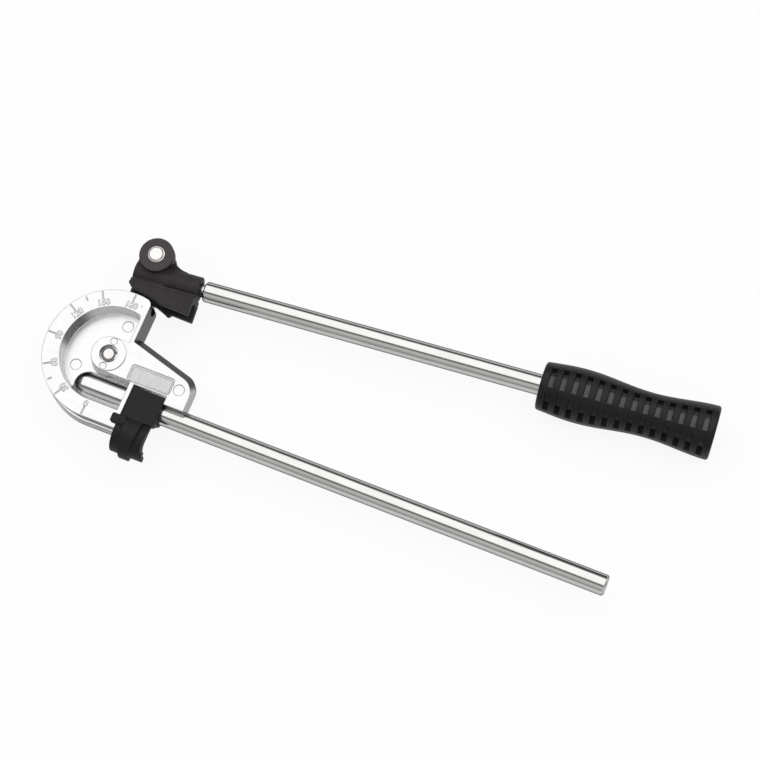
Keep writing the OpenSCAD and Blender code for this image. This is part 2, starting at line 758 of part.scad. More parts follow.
module lever_bar() {
    stop = grip_s + grip_len - grip_end;
    color(steel_col) at_lever() difference() {
        union() {
            chamfered_rod(bar_start, lever_p, bar_r, stop - bar_start, bar_chamfer);
            rod(spigot_s, lever_p, spigot_r, bar_start - spigot_s + over);
        }
        translate([spigot_pin_s, lever_p, -former_t]) cylinder(h = 2 * former_t, r = spigot_pin_d / 2);
    }
}

module spigot_pin() {
    sunk = 0.5;
    color(zinc_col) at_lever() translate([spigot_pin_s, lever_p, sunk - socket_r])
        cylinder(h = socket_r - sunk + sleeve_r, r = spigot_pin_d / 2);
}

// Slots of the grip, in pairs of rows that are deeper away from the rib between them
module grip_slots() {
    half = slot_reach / 2;
    pitch = (grip_len - 2 * slot_end) / (slot_count - 1);
    for (pair = [1:slot_pairs], side = [0, 1], i = [0:slot_count - 1]) {
        t = slot_end + pitch * i;
        r = grip_radius(t);
        near = r * sin(half + slot_tilt);
        far = r * sin(half - slot_tilt);
        rotate(180 - slot_turn + 360 / slot_pairs * pair) mirror([0, side, 0])
            rotate(half + slot_rib / 2 + slot_tilt)
            translate([r - slot_share * (r - bar_r), -near, t - slot_w / 2]) cube([r, near + far, slot_w]);
    }
}

module grip() {
    steps = 28;
    edge_turn = 75;
    run = grip_len - 2 * grip_round;
    skirt = [for (i = [0:steps]) let (t = grip_round + run * i / steps) [grip_radius(t), t]];
    front = arc([grip_radius(grip_round) - grip_round, grip_round], grip_round, -90, edge_turn - 90);
    back_t = grip_len - grip_round;
    back = arc([grip_radius(back_t) - grip_round, back_t], grip_round, 90 - edge_turn, 90);
    color(rubber_col) at_lever() translate([grip_s, lever_p, 0]) rotate([0, 90, 0]) difference() {
        rotate_extrude() polygon(concat([[0, 0]], front, skirt, back, [[0, grip_len]]));
        translate([0, 0, -over]) cylinder(h = grip_len - grip_end + over, r = bar_r);
        grip_slots();
    }
}

former();
fixed_bar();
bar_pin();
tube_hook();
link_plate();
pivot_pin();
retaining_ring();
ring_washer();
link_washer();
link_rivet();
eye_washer();
lever_head();
spigot_sleeve();
lever_bar();
spigot_pin();
grip();
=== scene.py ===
from math import radians

import bmesh
import bpy
import numpy as np
from mathutils import Matrix, Vector


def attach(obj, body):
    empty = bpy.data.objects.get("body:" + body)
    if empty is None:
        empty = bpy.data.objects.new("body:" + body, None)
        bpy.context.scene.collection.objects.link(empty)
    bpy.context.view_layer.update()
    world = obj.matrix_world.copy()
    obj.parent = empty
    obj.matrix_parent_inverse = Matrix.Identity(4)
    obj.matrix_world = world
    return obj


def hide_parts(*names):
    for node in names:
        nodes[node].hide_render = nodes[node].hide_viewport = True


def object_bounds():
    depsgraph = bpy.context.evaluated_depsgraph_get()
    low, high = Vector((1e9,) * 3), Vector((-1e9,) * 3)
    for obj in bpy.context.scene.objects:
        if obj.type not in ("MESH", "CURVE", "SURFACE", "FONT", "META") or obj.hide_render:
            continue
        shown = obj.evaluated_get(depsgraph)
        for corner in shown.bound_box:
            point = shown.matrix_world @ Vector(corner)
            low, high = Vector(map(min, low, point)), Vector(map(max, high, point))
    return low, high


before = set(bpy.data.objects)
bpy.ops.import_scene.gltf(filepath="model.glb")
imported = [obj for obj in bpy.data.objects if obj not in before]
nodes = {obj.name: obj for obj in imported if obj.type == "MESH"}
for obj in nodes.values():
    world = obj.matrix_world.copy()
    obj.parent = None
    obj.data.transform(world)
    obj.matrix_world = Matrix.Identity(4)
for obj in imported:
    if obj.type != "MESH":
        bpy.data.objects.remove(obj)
cad_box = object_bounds()

# Former: the cast aluminium body with the tube groove round its rim, the scale
# and the leg that carries the fixed bar. It is die-cast in one piece with soft
# edges. Its faces are polished, and its upright walls keep the darker cast skin,
# with light and shade painted on them by the way they face.


class Wire:
    """A socket of a material's nodes: arithmetic adds Math nodes, and node() adds any other."""

    def __init__(self, tree, socket=None):
        self.tree = tree
        self.socket = socket

    def node(self, kind, settings, sockets, out=0):
        """Adds a node of the kind, sets its settings, then fills or links its sockets. A ramp's
        stops are pairs of a place and a grey."""
        made = self.tree.nodes.new("ShaderNode" + kind)
        for name, value in settings.items():
            if name == "stops":
                made.color_ramp.elements.remove(made.color_ramp.elements[1])
                for place, grey in value:
                    stop = made.color_ramp.elements.new(place)
                    stop.color = (grey, grey, grey, 1)
                made.color_ramp.elements.remove(made.color_ramp.elements[0])
            else:
                setattr(made, name, value)
        for name, value in sockets.items():
            if isinstance(value, Wire):
                self.tree.links.new(value.socket, made.inputs[name])
            else:
                made.inputs[name].default_value = value
        return Wire(self.tree, made.outputs[out])

    def math(self, operation, *values):
        """Math node of the operation on the values, which are wires or numbers."""
        return self.node("Math", {"operation": operation}, dict(enumerate(values)))

    def __add__(self, other):
        return self.math("ADD", self, other)

    def __sub__(self, other):
        return self.math("SUBTRACT", self, other)

    def __rsub__(self, other):
        return self.math("SUBTRACT", other, self)

    def __mul__(self, other):
        return self.math("MULTIPLY", self, other)

    __radd__ = __add__
    __rmul__ = __mul__

    def root(self):
        """Square root of the value."""
        return self.math("SQRT", self)

    def size(self):
        """The value without its sign."""
        return self.math("ABSOLUTE", self)

    def axis(self, number):
        """One coordinate of a vector: 0 is x, 1 is y, 2 is z."""
        return self.node("SeparateXYZ", {}, {0: self}, number)

    def away(self, point):
        """Distance of a vector from a point."""
        return self.node("VectorMath", {"operation": "DISTANCE"}, {0: self, 1: point}, "Value")

    def fade(self, low, high):
        """Rises smoothly from 0 at low to 1 at high; it falls where low is the larger."""
        return self.node("MapRange", {"interpolation_type": "SMOOTHSTEP"},
                         {"Value": self, "From Min": low, "From Max": high})

    def blend(self, first, second):
        """Colour that goes from first, where this wire is 0, to second, where it is 1."""
        return self.node("Mix", {"data_type": "RGBA"}, {0: self, 6: first, 7: second}, 2)

    def grain(self, scale, detail=3.0, stretch=(1, 1, 1), turn=0.0):
        """Cloudy noise on these coordinates, turned about z and then stretched along each axis."""
        turned = self.node("Mapping", {}, {"Vector": self, "Rotation": (0, 0, turn)})
        spread = self.node("Mapping", {}, {"Vector": turned, "Scale": stretch})
        return self.node("TexNoise", {}, {"Vector": spread, "Scale": scale, "Detail": detail})

    def into(self, shader, name):
        """Links this wire to a socket of the shader."""
        self.tree.links.new(self.socket, shader.inputs[name])

    def relief(self, shader, strength, depth, **more):
        """Bumps the shader's normal by this wire, as a height of so many metres."""
        sockets = {"Strength": strength, "Distance": depth, "Height": self, **more}
        self.node("Bump", {}, sockets).into(shader, "Normal")


def new_finish(name, **fixed):
    """Material with its shader's plain values set, with its shader and Object coordinates."""
    material = bpy.data.materials.new(name)
    material.use_nodes = True
    shader = material.node_tree.nodes["Principled BSDF"]
    for socket, value in fixed.items():
        shader.inputs[socket.replace("_", " ")].default_value = value
    place = Wire(material.node_tree).node("TexCoord", {}, {}, "Object")
    return material, shader, place


def dress(piece, material):
    """Gives a piece one material in all its faces."""
    piece.data.materials.clear()
    piece.data.materials.append(material)


# Sizes of the casting in metres: the pocket, the cast rings and the bar's socket
POCKET_R = 0.034
PAD_R = 0.0037
DOT_R = 0.0023
RINGS = [((0.00085, 0.02439), PAD_R), ((-0.02113, -0.0122), PAD_R), ((0.05380, -0.00611), PAD_R),
         ((0, 0.00905), DOT_R), ((0, -0.00905), DOT_R)]
BAR_Y = -0.0232
SOCKET_R = 0.010
SOCKET_NOSE_X = -0.0065

FACE_DULL = (0.555, 0.555, 0.56, 1)
FACE_BRIGHT = (0.585, 0.585, 0.588, 1)
# Painted light for the pocket's sunk floor
FLOOR_PAINTED_LIGHT = (0.605, 0.605, 0.61, 1)
FIELD_DARK = (0.37, 0.37, 0.375, 1)
FIELD_PALE = (0.48, 0.48, 0.485, 1)
WALL_PALE = (0.86, 0.845, 0.85, 1)
# Dark colour painted as shade on one side of the pocket's wall
WALL_PAINTED_SHADE = (0.16, 0.155, 0.155, 1)
# Near-black colour painted as shade on the bar socket's nose and upper flank
NOSE_PAINTED_SHADE = (0.05, 0.048, 0.05, 1)
MARK_GREY = (0.44, 0.43, 0.435, 1)
RING_GREY = (0.41, 0.405, 0.415, 1)


def cast_aluminium():
    """Polished faces are pale, and upright walls keep a cast skin: pale and matt in the pocket,
    darker along the notch and the leg's top. Light and shade are painted on the outer walls by the
    way they face: painted shade on walls that face +y, painted light on walls that face -y and on
    the leg's end. The pocket's upper-left wall is painted dark as shade, and its sunk floor is
    painted brighter than the faces, as light. Sunk marks and the label field are matt, the steep
    flanks of the raised numbers are painted grey as shade, and the bar's socket is painted dark as
    shade on the steep sides of its nose and upper flank.

    The height of the normal tells a face from a wall, the height of the surface tells what is
    sunk, and the distance from the bar's axis, or from the end of it, tells the socket."""
    material, shader, place = new_finish("cast_aluminium", Specular_Tint=(0.5, 0.5, 0.5, 1))
    x, y, z = place.axis(0), place.axis(1), place.axis(2)
    normal = place.node("TexCoord", {}, {}, "Normal")
    facing_x, facing_y = normal.axis(0), normal.axis(1)
    level = normal.axis(2).size()
    polished = level.fade(0.50, 0.72)
    lower = facing_y.fade(-0.25, -0.65)
    upper = facing_y.fade(0.25, 0.60)

    reach = (x * x + y * y).root()
    past_lip = x.fade(0.0105, 0.0112) * y.fade(0.005, 0.008)
    inner = reach.fade(POCKET_R + 0.0005, POCKET_R - 0.0002) * (1 - past_lip)
    pocket = inner * (1 - polished)
    # Painted shade: pocket walls that face +x, turned a little towards -y, take the dark wall
    # colour.
    upper_left = facing_y.fade(-0.80, -0.45) * facing_y.fade(0.25, -0.05)
    shade = pocket * facing_x.fade(0.5, 0.8) * upper_left
    # Painted light: the pocket's sunk floor takes a colour brighter than the faces.
    floor = inner * polished * z.fade(0.002, 0.001)

    # Painted shade: the steep end of the socket's nose and the steep side of its upper flank take a
    # near-black colour.
    touch = (SOCKET_R + 0.0003, SOCKET_R + 0.0001)
    nose = place.away((SOCKET_NOSE_X, BAR_Y, 0)).fade(*touch) * x.fade(-0.0060, -0.0070)
    aside = y - BAR_Y
    flank = (aside * aside + z * z).root().fade(*touch) * x.fade(-0.0070, -0.0060)
    steep_end = facing_y.fade(-0.75, -0.45) * level.fade(0.94, 0.82)
    steep_side = facing_y.fade(0.2, 0.4) * level.fade(0.87, 0.82) * level.fade(0.68, 0.75)
    dim = nose * steep_end + flank * steep_side

    sunk = z.fade(0.01045, 0.01055) * z.fade(0.01085, 0.01075)
    mark = sunk * x.fade(0.016, 0.015)
    label = sunk * x.fade(0.0155, 0.0165) * x.fade(0.0498, 0.0494)
    # Painted shade: the steep flanks of the raised numbers take the marks' grey, which outlines
    # them.
    figure = z.fade(0.01101, 0.01104) * reach.fade(0.020, 0.022) * level.fade(0.95, 0.85)
    flat = place.node("VectorMath", {"operation": "MULTIPLY"}, {0: place, 1: (1, 1, 0)})
    ring = sum((flat.away((*middle, 0)) - out).size().fade(0.00042, 0.00018)
               for middle, out in RINGS)

    cloud = place.grain(240, 4.0).fade(0.3, 0.7)
    speck = place.grain(1900, 2.0)
    sand = place.grain(2600, 2.0)
    # Painted light and shade on the walls' cast skin: walls that face -y and walls towards the
    # leg's end are painted lighter, walls that face +y, such as the leg's top, are painted darker.
    painted_leg_end_light = x.fade(0.035, 0.056) * (1 - upper)
    skin_and_painted_light = 0.20 + 0.13 * lower + 0.42 * painted_leg_end_light - 0.11 * upper + 0.02 * cloud
    face = cloud.blend(FACE_DULL, FACE_BRIGHT)
    field = sand.fade(0.35, 0.65).blend(FIELD_DARK, FIELD_PALE)
    wall = shade.blend(WALL_PALE, WALL_PAINTED_SHADE)

    colour = pocket.blend(polished.blend(skin_and_painted_light, face), wall)
    colour = floor.blend(colour, FLOOR_PAINTED_LIGHT)
    colour = (dim * inner).blend(colour, NOSE_PAINTED_SHADE)
    colour = mark.blend(label.blend(colour, field), MARK_GREY)
    colour = (ring * polished).blend(colour, RING_GREY)
    figure.blend(colour, MARK_GREY).into(shader, "Base Color")
    (1 - 0.92 * pocket).into(shader, "Metallic")
    matt = 0.22 * label + 0.15 * mark + 0.14 * floor
    (0.26 - 0.13 * polished + 0.04 * cloud + matt).into(shader, "Roughness")
    eased = place.node("Bevel", {"samples": 8}, {"Radius": 0.0007})
    (speck + label * sand * 3.0).relief(shader, 0.10, 0.00003, Normal=eased)
    return material


casting = cast_aluminium()
dress(nodes["former"], casting)

# Label border: the sunk field on the leg is bare, with a fine raised border
# inside its edge. Border and field are cast with the former.

# Millimetres; a ridge point is its distance outwards from the path and its height
LABEL_AT = np.array([19.2, -11.1])
LABEL_SIZE = np.array([28.6, 9.6])
LABEL_CORNER = 1.2
LABEL_RIDGE = np.array([(-0.22, 10.95), (0.22, 10.95), (0.40, 10.5), (-0.40, 10.5)])
SHARP_EDGE = radians(38)


def skin(name, points, closed=False):
    """Mesh over a grid of points (rows, columns, 3). Columns always close round, and rows close
    too or get a cap at each end."""
    rows, columns = points.shape[:2]
    number = np.arange(rows * columns).reshape(rows, columns)
    if closed:
        number = np.vstack([number, number[:1]])
    beside = np.roll(number, -1, axis=1)
    quads = np.stack([number[:-1], beside[:-1], beside[1:], number[1:]], axis=-1)
    faces = quads.reshape(-1, 4).tolist()
    if not closed:
        faces += [number[0, ::-1].tolist(), number[-1].tolist()]
    mesh = bpy.data.meshes.new(name)
    mesh.from_pydata(points.reshape(-1, 3), [], faces)
    mesh.update()
    mesh.shade_smooth()
    mesh.set_sharp_from_angle(angle=SHARP_EDGE)
    piece = bpy.data.objects.new(name, mesh)
    bpy.context.collection.objects.link(piece)
    return piece


def label_border():
    """Small ridge carried round a rounded rectangle: at angle a of a corner, the path lies at
    the corner's centre plus its radius along (cos a, sin a), and the ridge's section runs along
    that direction and z."""
    quarter = np.arange(0, 91, 15)
    angle = np.radians(quarter + 90 * np.arange(4)[:, None]).ravel()
    outward = np.stack([np.cos(angle), np.sin(angle)], axis=1)
    signs = np.array([(1, 1), (-1, 1), (-1, -1), (1, -1)])
    inner = np.repeat(signs * (LABEL_SIZE / 2 - LABEL_CORNER), len(quarter), axis=0)
    corners = inner + LABEL_AT + LABEL_SIZE / 2
    out, up = LABEL_RIDGE.T
    flat = corners[:, None] + (LABEL_CORNER + out)[None, :, None] * outward[:, None]
    height = np.broadcast_to(up[None, :, None], (*flat.shape[:2], 1))
    return np.concatenate([flat, height], axis=2) / 1000


border = skin("label_border", label_border(), closed=True)
dress(border, casting)
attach(border, "former")

# Scale numbers: the bend angles 0 to 180, cast standing proud on the rim face
# beside their marks, with their tops outwards, and a small pip after the last.
# Same metal as the former.

FACE_Z = 0.011
NUMBER_R = 0.0363
NUMBER_H = 0.0041
NUMBER_FULL = 0.7  # height of a figure as a share of its font's size
PIP_AT = (0.007, 0.0381, FACE_Z)


def raised_number(words, turn):
    """Mesh of a number, flat at first, then turned and moved out along the rim to its mark."""
    curve = bpy.data.curves.new("number", "FONT")
    curve.body = words
    curve.align_x = "CENTER"
    curve.align_y = "CENTER"
    curve.size = NUMBER_H / NUMBER_FULL
    curve.offset = -0.00004
    curve.extrude = 0.00005
    curve.bevel_depth = 0.00032
    curve.bevel_resolution = 0
    curve.resolution_u = 3
    lettering = bpy.data.objects.new("number", curve)
    mesh = bpy.data.meshes.new_from_object(lettering)
    bpy.data.objects.remove(lettering)
    outward = Matrix.Translation((0, NUMBER_R, FACE_Z))
    mesh.transform(Matrix.Rotation(turn, 4, "Z") @ outward)
    return mesh


numbers = bmesh.new()
for bend in range(0, 181, 30):
    numbers.from_mesh(raised_number(str(bend), radians(180 - bend)))
bmesh.ops.create_cone(numbers, cap_ends=True, segments=16, radius1=0.0007, radius2=0.0003,
                      depth=0.0006, matrix=Matrix.Translation(PIP_AT))
bmesh.ops.remove_doubles(numbers, verts=numbers.verts, dist=1e-7)
bmesh.ops.recalc_face_normals(numbers, faces=numbers.faces)
number_mesh = bpy.data.meshes.new("scale_numbers")
numbers.to_mesh(number_mesh)
numbers.free()
scale_numbers = bpy.data.objects.new("scale_numbers", number_mesh)
bpy.context.collection.objects.link(scale_numbers)
dress(scale_numbers, casting)
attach(scale_numbers, "former")

# Fixed bar: a length of drawn round steel, bright zinc plated, with a turned
# chamfer at its free end. It is pressed into the former and pinned from behind.

# Millimetres, along the bar from the bend axis
BAR_R = 7.0
BAR_CHAMFER = 1.2
BAR_FROM = -9.0
BAR_TO = 358.0
ZINC_DULL = (0.52, 0.515, 0.505, 1)
ZINC_BRIGHT = (0.58, 0.578, 0.572, 1)


def turned(profile, start, along, columns=96):
    """Turned surface: the profile point (s, r) at angle a lies at start + s along
    + r (cos a across + sin a up)."""
    along = np.array(Vector(along).normalized())
    across = np.array(Vector(along).orthogonal().normalized())
    up = np.cross(along, across)
    angle = np.linspace(0, 2 * np.pi, columns, endpoint=False)
    s, r = np.asarray(profile, float).T[:, :, None]
    ring = np.cos(angle)[:, None] * across + np.sin(angle)[:, None] * up
    return np.asarray(start) + s[..., None] * along + r[..., None] * ring


def eased_corner(s, r, run, rise, radius=0.35, steps=5):
    """Small round at a corner of a profile, as a quadratic curve: it comes in along the unit
    direction run and goes out along rise."""
    t = np.linspace(0, 1, steps)[:, None]
    corner = np.array([s, r])
    before = corner - radius * np.array(run)
    after = corner + radius * np.array(rise)
    return (1 - t) ** 2 * before + 2 * t * (1 - t) * corner + t ** 2 * after


def bar_end(s, r, side, chamfer):
    """Chamfered end of a bar at s, from near its middle out to its side, with both edges of the
    chamfer eased; side is -1 at the start of the bar and 1 at its end."""
    slope = np.array([-side, 1]) / np.sqrt(2)
    inner = eased_corner(s, r - chamfer, (0, 1), slope)
    outer = eased_corner(s - side * chamfer, r, slope, (-side, 0))
    return np.vstack([[(s, 0.4 * r)], inner, outer])


def bright_bar(name, turn):
    """Zinc plate on drawn bar: fine lines along it, soft cloudy tarnish and a few rub marks."""
    material, shader, place = new_finish(name, Metallic=1.0, Specular_Tint=(0.05, 0.045, 0.045, 1))
    drawn = place.grain(1.0, 4.0, (14, 2600, 2600), turn)
    cloud = place.grain(1.0, 3.0, (45, 160, 160), turn)
    rubbed = place.grain(1.0, 2.0, (160, 900, 900), turn).fade(0.62, 0.75)
    worn = cloud.fade(0.3, 0.75) * 0.7 + drawn.fade(0.35, 0.7) * 0.3
    worn.blend(ZINC_DULL, ZINC_BRIGHT).into(shader, "Base Color")
    (0.09 + 0.06 * drawn + 0.05 * cloud + 0.08 * rubbed).into(shader, "Roughness")
    drawn.relief(shader, 0.12, 0.00002)
    return material


fixed_outline = np.vstack([
    bar_end(BAR_FROM, BAR_R, -1, BAR_CHAMFER),
    [(s, BAR_R) for s in np.linspace(0, 350, 12)],
    bar_end(BAR_TO, BAR_R, 1, BAR_CHAMFER)[::-1],
]) / 1000
fixed_bar = skin("plated_fixed_bar", turned(fixed_outline, (0, BAR_Y, 0), (1, 0, 0)))
dress(fixed_bar, bright_bar("zinc_on_fixed_bar", 0.0))
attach(fixed_bar, "former")
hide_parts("fixed_bar")

# Bar pin: a rolled spring pin, driven into the former from the rear, that keeps
# the fixed bar in its socket. Plain hardened steel, slightly oiled.


def plain_steel(name, pale, dark, roughness):
    """Machined steel: pale and dark patches, a roughness that follows them, and tool lines."""
    material, shader, place = new_finish(name, Metallic=1.0)
    patch = place.grain(420, 4.0)
    line = place.grain(1.0, 2.0, (900, 900, 5200))
    patch.fade(0.3, 0.7).blend((*dark, 1), (*pale, 1)).into(shader, "Base Color")
    (roughness + 0.12 * patch + 0.06 * line).into(shader, "Roughness")
    line.relief(shader, 0.15, 0.00002)
    return material


pin_steel = plain_steel("machined_pin_steel", pale=(0.60, 0.59, 0.58), dark=(0.52, 0.51, 0.50),
                        roughness=0.14)
dress(nodes["bar_pin"], pin_steel)

# Tube hook: a glass-filled nylon latch, moulded in one piece, black. Its hub
# turns on the fixed bar and its arm holds the tube down in the groove.

NYLON_QUAD = 0.0004
NYLON_ROUNDS = 5
NYLON_FACED = (0.054, 0.044, 0.048, 1)


def moulded_copy(node, name, turn=0.0):
    """Copy of a CAD node, merged, laid over with even quads and relaxed, so that its edges come
    out rounded.

    The quads run along a direction turned about z, so that the long edges stay straight."""
    mould = bmesh.new()
    mould.from_mesh(nodes[node].data)
    bmesh.ops.remove_doubles(mould, verts=mould.verts, dist=1e-6)
    mesh = bpy.data.meshes.new(name)
    mould.to_mesh(mesh)
    mould.free()
    mesh.transform(Matrix.Rotation(-turn, 4, "Z"))
    piece = bpy.data.objects.new(name, mesh)
    bpy.context.collection.objects.link(piece)
    even = piece.modifiers.new("even", "REMESH")
    even.mode = "VOXEL"
    even.voxel_size = NYLON_QUAD
    relax = piece.modifiers.new("relax", "SMOOTH")
    relax.factor = 0.5
    relax.iterations = NYLON_ROUNDS
    settled = piece.evaluated_get(bpy.context.evaluated_depsgraph_get())
    piece.data = bpy.data.meshes.new_from_object(settled)
    piece.modifiers.clear()
    piece.data.transform(Matrix.Rotation(turn, 4, "Z"))
    piece.data.shade_smooth()
    return piece


def black_nylon(name, pale, disc=None):
    """Near-black nylon: fine spark texture from the mould, paler and smoother where edges are
    rubbed.

    pale lightens it evenly. disc is the centre and the radius, in metres, of a flat front that
    is faced off and so looks greyer."""
    material, shader, place = new_finish(name, Specular_IOR_Level=0.22)
    texture = place.grain(2600, 3.0)
    cloud = place.grain(130, 3.0)
    bent = place.node("NewGeometry", {}, {}, "Pointiness").fade(0.53, 0.60)
    rubbed = bent * cloud.fade(0.35, 0.65)
    dull, even, worn = ((red * pale, green * pale, blue * pale, 1) for red, green, blue
                        in ((0.9, 0.74, 0.78), (1.2, 1.0, 1.05), (2.2, 1.9, 2.0)))
    colour = rubbed.blend(cloud.fade(0.3, 0.7).blend(dull, even), worn)
    if disc:
        middle, reach = disc
        front = place.axis(2).fade(middle[2] - 0.0005, middle[2] - 0.0003)
        faced = place.away(middle).fade(reach + 0.0001, reach - 0.0001) * front
        colour = faced.blend(colour, NYLON_FACED)
    colour.into(shader, "Base Color")
    (0.50 + 0.12 * texture - 0.10 * rubbed).into(shader, "Roughness")
    texture.relief(shader, 0.35, 0.00005)
    return material


tube_hook = moulded_copy("tube_hook", "moulded_tube_hook")
dress(tube_hook, black_nylon("black_nylon_of_hook", pale=0.0095))
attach(tube_hook, "hook")
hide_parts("tube_hook")

# Link plate and its pins: a blanked steel link behind the former, on the pivot
# pin at the hub and on the rivet at the eye, with thin spacing washers and a
# dark spring ring in the counterbore.

link_steel = plain_steel("blanked_link_steel", pale=(0.56, 0.56, 0.56), dark=(0.45, 0.45, 0.45),
                         roughness=0.26)
dress(nodes["link_plate"], link_steel)
for turned_piece in ("ring_washer", "link_washer", "eye_washer", "pivot_pin"):
    dress(nodes[turned_piece], pin_steel)
ring_steel = plain_steel("blued_spring_steel", pale=(0.16, 0.15, 0.15), dark=(0.09, 0.085, 0.08),
                         roughness=0.30)
dress(nodes["retaining_ring"], ring_steel)

# Rivet: a solid steel rivet, nickel plated, with its flange behind the link. Its
# front end is set down over the eye as a collar with a flat button.

EYE_X = 0.0016244
EYE_Y = 0.0747119

# Height along the rivet and radius in millimetres: flange, shank, collar, button
rivet_outline = np.vstack([
    [(-17.1, 2.0), (-17.1, 6.4)],
    eased_corner(-17.1, 6.8, (0, 1), (1, 0)),
    [(-16.1, 6.8), (-15.9, 6.6), (-15.9, 4.8), (13.1, 4.8), (13.1, 5.6)],
    eased_corner(13.35, 5.85, (0.7, 0.7), (0.7, -0.7), 0.2),
    [(13.6, 5.45), (13.62, 5.25), (13.8, 4.95)],
    eased_corner(14.5, 4.25, (0.7, -0.7), (0, -1), 0.25),
    [(14.5, 3.0), (14.5, 1.0)],
]) / 1000
rivet = skin("button_rivet", turned(rivet_outline, (EYE_X, EYE_Y, 0), (0, 0, 1), 72))
rivet_nickel = plain_steel("nickel_on_rivet", pale=(0.60, 0.59, 0.57), dark=(0.55, 0.54, 0.52),
                           roughness=0.10)
dress(rivet, rivet_nickel)
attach(rivet, "link")
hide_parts("link_rivet")

# Lever head: a glass-filled nylon moulding, black, with the eye boss, the socket
# for the lever and the grooved shoe that pushes the tube round the former.

LEVER_TURN = radians(4.9)
EYE_FRONT = 0.013
EYE_R = 0.0119

lever_head = moulded_copy("lever_head", "moulded_lever_head", LEVER_TURN)
head_nylon = black_nylon("black_nylon_of_head", pale=0.025, disc=((EYE_X, EYE_Y, EYE_FRONT), EYE_R))
dress(lever_head, head_nylon)
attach(lever_head, "lever")
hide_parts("lever_head")

# Spigot sleeve and spigot pin: a steel bush moulded into the head and the cross
# pin that locks the lever's spigot in it.

dress(nodes["spigot_sleeve"], pin_steel)
dress(nodes["spigot_pin"], pin_steel)

# Lever bar: drawn round steel, bright zinc plated, turned down to a spigot that
# shows as a short neck where it enters the head.

LEVER_P = 0.0623  # distance of the lever's axis from the bend axis
LEVER_ALONG = np.array([np.cos(LEVER_TURN), np.sin(LEVER_TURN), 0])
LEVER_ACROSS = np.array([-np.sin(LEVER_TURN), np.cos(LEVER_TURN), 0])
LEVER_START = LEVER_P * LEVER_ACROSS

# Millimetres, along the lever from the point nearest to the bend axis
SPIGOT_FROM = 13.3
SPIGOT_R = 4.5
SHOULDER = 44.7
LEVER_TO = 387.5

lever_outline = np.vstack([
    bar_end(SPIGOT_FROM, SPIGOT_R, -1, 0.5),
    [(30, SPIGOT_R), (44.3, SPIGOT_R), (44.5, 4.55), (44.68, 4.7), (SHOULDER, 5.0)],
    bar_end(SHOULDER, BAR_R, -1, 0.9)[1:],
    [(s, BAR_R) for s in np.linspace(50, 380, 12)],
    bar_end(LEVER_TO, BAR_R, 1, BAR_CHAMFER)[::-1],
]) / 1000
lever_bar = skin("plated_lever_bar", turned(lever_outline, LEVER_START, LEVER_ALONG))
dress(lever_bar, bright_bar("zinc_on_lever_bar", -LEVER_TURN))
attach(lever_bar, "lever")
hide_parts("lever_bar")

# Grip: a black rubber sleeve, moulded with a swell for the palm and with two rows
# of short slots on its front and its back. It is glued over the lever's end.

# Millimetres along the lever or the grip, and degrees round it
GRIP_START = 278.3
GRIP_LEN = 116.2
GRIP_R = 16.5
GRIP_SWELL = 1.65
SWELL_PEAK = 27
SWELL_WAVE = 90
GRIP_ROUND = 2.0
GRIP_MOUTH = [(9.0, 0.6), (9.4, 0.15), (10.0, 0.0)]
GRIP_CAP = [(8, GRIP_LEN), (2, GRIP_LEN)]
SLOT_COUNT = 14
SLOT_END = 7.0
SLOT_PITCH = (GRIP_LEN - 2 * SLOT_END) / (SLOT_COUNT - 1)
SLOT_DEPTH = 4.4
RIB_TURN = -22.0
ROW_OFF = 31.5
# A slot's wall: shares of the depth, and where they lie from its middle along and round the grip
WALL_SHARE = np.array([1.0, 0.97, 0.055, 0.0])
WALL_ALONG = np.array([1.5, 1.74, 1.80, 2.08])
WALL_ROUND = np.array([24.2, 25.1, 25.3, 26.4])
UPPER_GLOSS = 1.0
# The lower row of slots on each side gets half the gloss, so a weaker coat and a darker colour:
# painted shade.
LOWER_GLOSS_AND_PAINTED_SHADE = 0.5


def swell(t):
    """Radius of the grip at t along it: a mean radius and a cosine wave about it."""
    return GRIP_R + GRIP_SWELL * np.cos(2 * np.pi * (t - SWELL_PEAK) / SWELL_WAVE)


def rounded_end(t, first, last):
    """Quarter round of the grip's edge about t, between two angles in degrees: (radius, t)."""
    bend = np.radians(np.linspace(first, last, 8))
    return np.stack([swell(t) + GRIP_ROUND * (np.cos(bend) - 1), t + GRIP_ROUND * np.sin(bend)],
                    axis=1)


